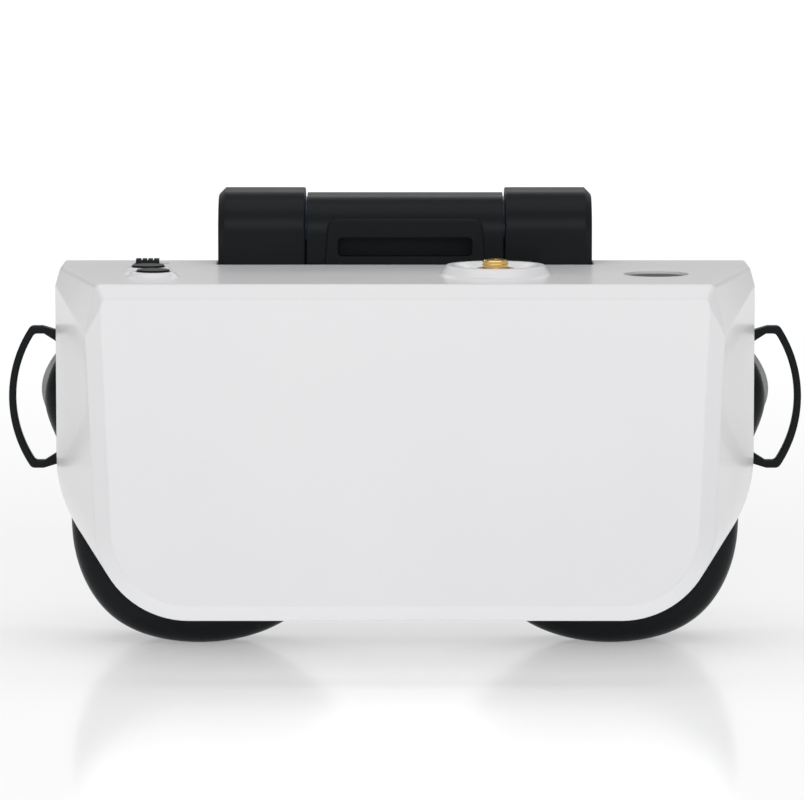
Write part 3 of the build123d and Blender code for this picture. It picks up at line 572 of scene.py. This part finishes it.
def build_cushion(material):
    """The crowned face cushion, in place of its flat-sided CAD solid."""
    solid = node_form("face_cushion")
    mesh = bpy.data.meshes.new("cushion_form")
    solid.to_mesh(mesh)
    solid.free()
    form = bpy.data.objects.new("cushion_form", mesh)
    bpy.context.scene.collection.objects.link(form)
    remesh = form.modifiers.new("cells", "REMESH")
    remesh.mode = "VOXEL"
    remesh.voxel_size = CUSHION_CELL
    cells = evaluated_mesh(form)
    form.modifiers.remove(remesh)
    form.data = cells

    shape = bmesh.new()
    shape.from_mesh(cells)
    loose = [v for v in shape.verts if FACE_RADIUS - from_face_axis(v.co) > CUSHION_HELD]
    for _ in range(CUSHION_ROUNDING):
        bmesh.ops.smooth_vert(shape, verts=loose, factor=0.5, use_axis_x=True, use_axis_y=True,
                              use_axis_z=True)
    shape.normal_update()
    inner = [(v, v.co - v.normal * CUSHION_START) for v in loose]
    for vertex, place in inner:
        vertex.co = place
    shape.to_mesh(cells)
    shape.free()

    for vertex, place in zip(cells.vertices, puffed(form)):
        step = place - vertex.co
        if step.length > CUSHION_SWELL:
            step *= CUSHION_SWELL / step.length
        vertex.co += step
    finer = form.modifiers.new("finer", "SUBSURF")
    finer.levels = 1
    finer.render_levels = 1
    final = evaluated_mesh(form)
    bpy.data.objects.remove(form)
    final.name = "cushion"
    low, high = cad_box
    for vertex in final.vertices:
        vertex.co = [min(max(value, a), b) for value, a, b in zip(vertex.co, low, high)]
    smooth(final)
    cushion = add_piece("cushion", final, material, "root")
    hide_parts("face_cushion")
    return cushion


def add_backing(material):
    """The grey backing strip on the cushion's margin, which shows beside the flange."""
    loop = eased(evenly(longest_edge_loop("face_cushion", FACE_RADIUS), LOOP_POINTS))
    middle = sum(loop, Vector()) / len(loop)
    sideways = (loop[1] - loop[-1]).cross(-outwards(loop[0]))
    if sideways.dot(middle - loop[0]) < 0:
        loop.reverse()
    normals = [-outwards(point) for point in loop]
    near = BACKING_MARGIN
    far = BACKING_REACH
    deep = BACKING_THICKNESS
    band = [(0.0, near), (deep, near), (deep, far), (0.0, far)]
    mesh = sweep(loop, normals, band)
    add_piece("cushion_backing", mesh, material, "root")


def cover_of(cushion):
    """The cushion's surface, to find places on."""
    return BVHTree.FromPolygons([vertex.co.copy() for vertex in cushion.data.vertices],
                                [tuple(polygon.vertices) for polygon in cushion.data.polygons])


def add_piping(material, cover):
    """The bound edge round the cushion's side towards the face, partly sunk into its cover."""
    nearest_face = FACE_RADIUS - CUSHION_THICKNESS
    loop = eased(evenly(longest_edge_loop("face_cushion", nearest_face), LOOP_POINTS), 8)
    middle = sum(loop, Vector()) / len(loop)
    moved = []
    for point in loop:
        away = outwards(point)
        inward = middle - point
        inward = (inward - away * inward.dot(away)).normalized()
        target = point + inward * PIPING_INSET + away * PIPING_INSET
        place, normal, _, _ = cover.find_nearest(target)
        moved.append(place + normal * PIPING_LIFT)
    moved = eased(moved)
    normals = [outwards(point) for point in moved]
    mesh = sweep(moved, normals, ring(PIPING_RADIUS, 8))
    smooth(mesh)
    add_piece("cushion_piping", mesh, material, "root")
    return moved, middle


def add_stitches(material, cover, edge, middle):
    """A row of stitches inside the piping, each with its ends sunk into the cover."""
    edge = evenly(edge, STITCHES)
    stitches = bmesh.new()
    for index, point in enumerate(edge):
        tangent = (edge[(index + 1) % len(edge)] - edge[index - 1]).normalized()
        facing = -outwards(point)
        inward = facing.cross(tangent).normalized()
        if inward.dot(middle - point) < 0:
            inward = -inward
        ends = []
        for along, lift in STITCH_PLACES.items():
            target = point + inward * STITCH_INSET + tangent * along
            place, normal, _, _ = cover.ray_cast(target + facing * 0.01, -facing)
            if place is not None:
                ends.append(place + normal * lift)
        if len(ends) < len(STITCH_PLACES):
            continue
        stitch = sweep(ends, [facing] * len(ends), ring(STITCH_RADIUS, 6), closed=False)
        stitches.from_mesh(stitch)
        bpy.data.meshes.remove(stitch)
    mesh = bpy.data.meshes.new("stitches")
    stitches.to_mesh(mesh)
    stitches.free()
    smooth(mesh)
    add_piece("cushion_stitches", mesh, material, "root")


# ---- antenna thread --------------------------------------------------------------------------

THREAD_AT = Vector((0.0224, -0.0216, 0))
THREAD_LOW = 0.10145
THREAD_HIGH = 0.10262
THREAD_PITCH = 0.000706
THREAD_RADIUS = 0.00309
RIDGE_HALF_WIDTH = 0.00024
RIDGE_HEIGHT = 0.00018


def add_antenna_thread(material):
    """The ridges of the antenna jack's fine thread."""
    steps = 60
    turns = (THREAD_HIGH - THREAD_LOW) / THREAD_PITCH
    points = []
    normals = []
    for step in range(int(steps * turns) + 1):
        angle = 2 * math.pi * step / steps
        direction = Vector((math.cos(angle), math.sin(angle), 0))
        height = THREAD_LOW + THREAD_PITCH * step / steps
        points.append(THREAD_AT + direction * THREAD_RADIUS + Vector((0, 0, height)))
        normals.append(direction)
    ridge = [(0.0, -RIDGE_HALF_WIDTH), (RIDGE_HEIGHT, 0.0), (0.0, RIDGE_HALF_WIDTH)]
    mesh = sweep(points, normals, ridge, closed=False)
    add_piece("antenna_thread", mesh, material, "root")


# ---- assembly --------------------------------------------------------------------------------

materials = build_materials()
dress_cad_nodes(materials)
backing_fabric = knit("backing_fabric", (0.30, 0.30, 0.31), (0.40, 0.40, 0.41), 0.0008, 0.0001)
binding = knit("binding", (0.008, 0.008, 0.009), (0.016, 0.016, 0.018), 0.0007, 0.00012, 0.7)
thread = knit("stitch_thread", (0.05, 0.05, 0.052), (0.09, 0.09, 0.095), 0.0004, 0.00005, 0.6)
face_cushion = build_cushion(materials["cushion_fabric"])
add_backing(backing_fabric)
cover = cover_of(face_cushion)
cushion_edge, cushion_middle = add_piping(binding, cover)
add_stitches(thread, cover, cushion_edge, cushion_middle)
add_antenna_thread(materials["gold_brass"])
add_floor()
add_studio()
add_camera()
